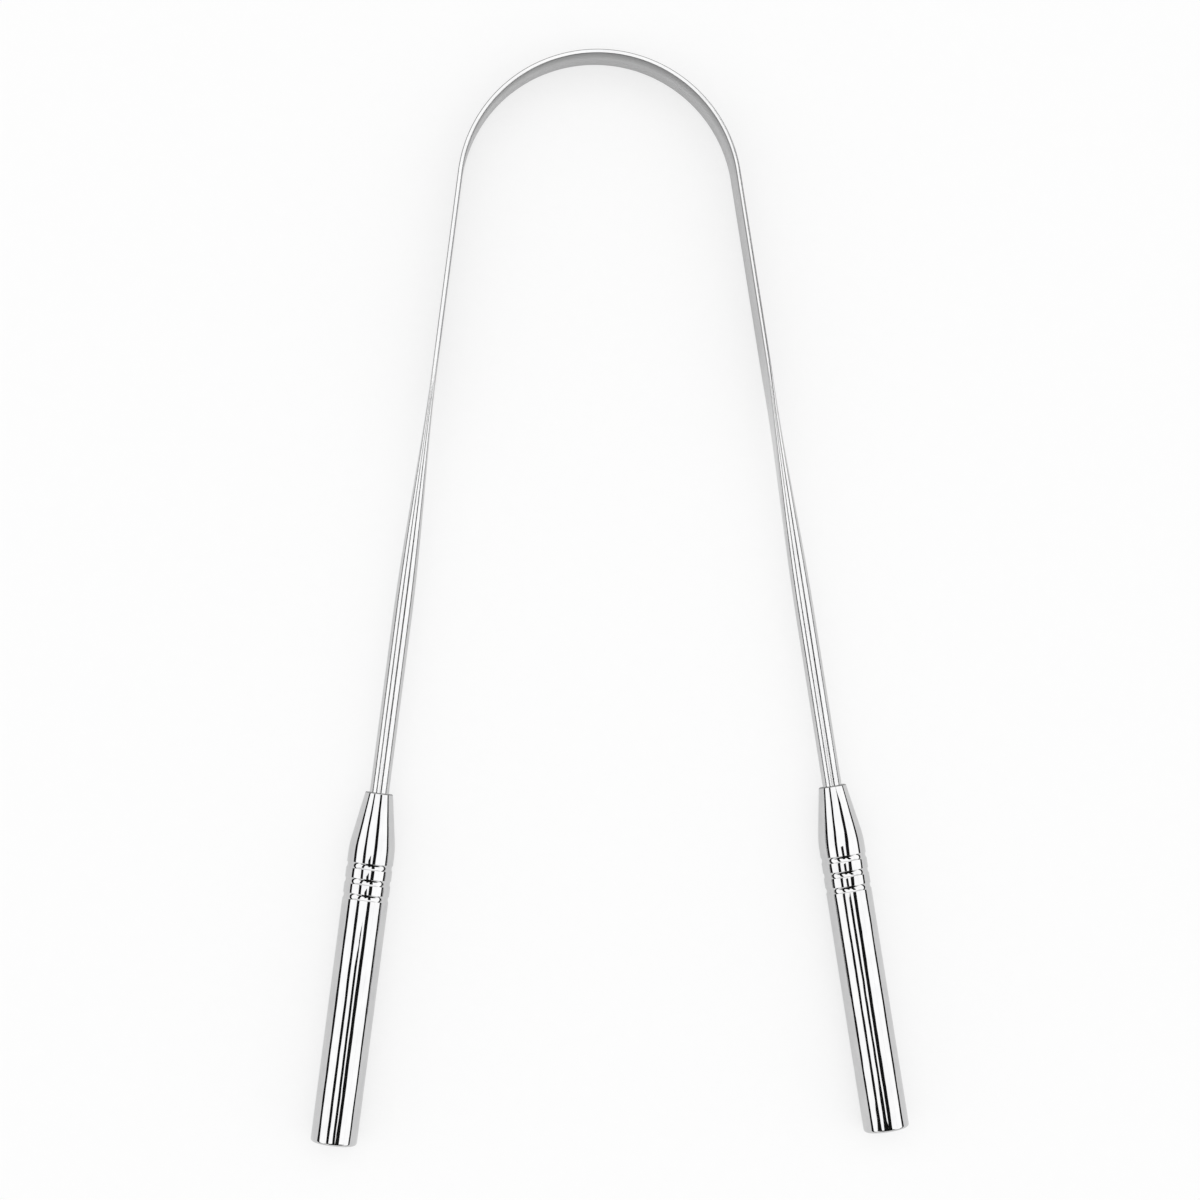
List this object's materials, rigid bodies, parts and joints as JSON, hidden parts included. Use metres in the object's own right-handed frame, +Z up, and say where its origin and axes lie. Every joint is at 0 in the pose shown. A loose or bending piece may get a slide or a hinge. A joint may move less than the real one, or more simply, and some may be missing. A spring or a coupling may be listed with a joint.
{
  "type": "tongue scraper",
  "caption": "Polished steel tongue scraper: a thin flat arch whose arms run out to round wire and end in ringed tube handles.",
  "frame": {"origin": "middle of the outline, on the surface that the scraper lies on", "axes": "+Z up from that surface, +Y towards the arch, +X to the right arm; the wire's middle line is level at z 3 mm"},
  "size_m": [0.078, 0.1428, 0.006],
  "materials": {
    "polished_wire": "stainless steel, rolled and polished to a mirror",
    "polished_tube": "stainless steel tube, turned and polished to a mirror",
    "turned_steel": "stainless steel, plain turned"
  },
  "bodies": {
    "blade": {"scraper_blade": "polished_wire"},
    "left_arm": {"left_arm": "polished_wire", "left_handle_tube": "polished_tube", "left_bush": "turned_steel", "left_end_plug": "polished_tube"},
    "right_arm": {"right_arm": "polished_wire", "right_handle_tube": "polished_tube", "right_bush": "turned_steel", "right_end_plug": "polished_tube"}
  },
  "joints": [
    {"name": "left_flex", "type": "hinge", "parent": "blade", "child": "left_arm", "pos_m": [-0.01832, 0.05515, 0.003], "axis": [0, 0, 1], "range_deg": [-8, 12], "stiffness_Nm_per_rad": 0.37},
    {"name": "right_flex", "type": "hinge", "parent": "blade", "child": "right_arm", "pos_m": [0.01832, 0.05515, 0.003], "axis": [0, 0, -1], "range_deg": [-8, 12], "stiffness_Nm_per_rad": 0.37}
  ]
}
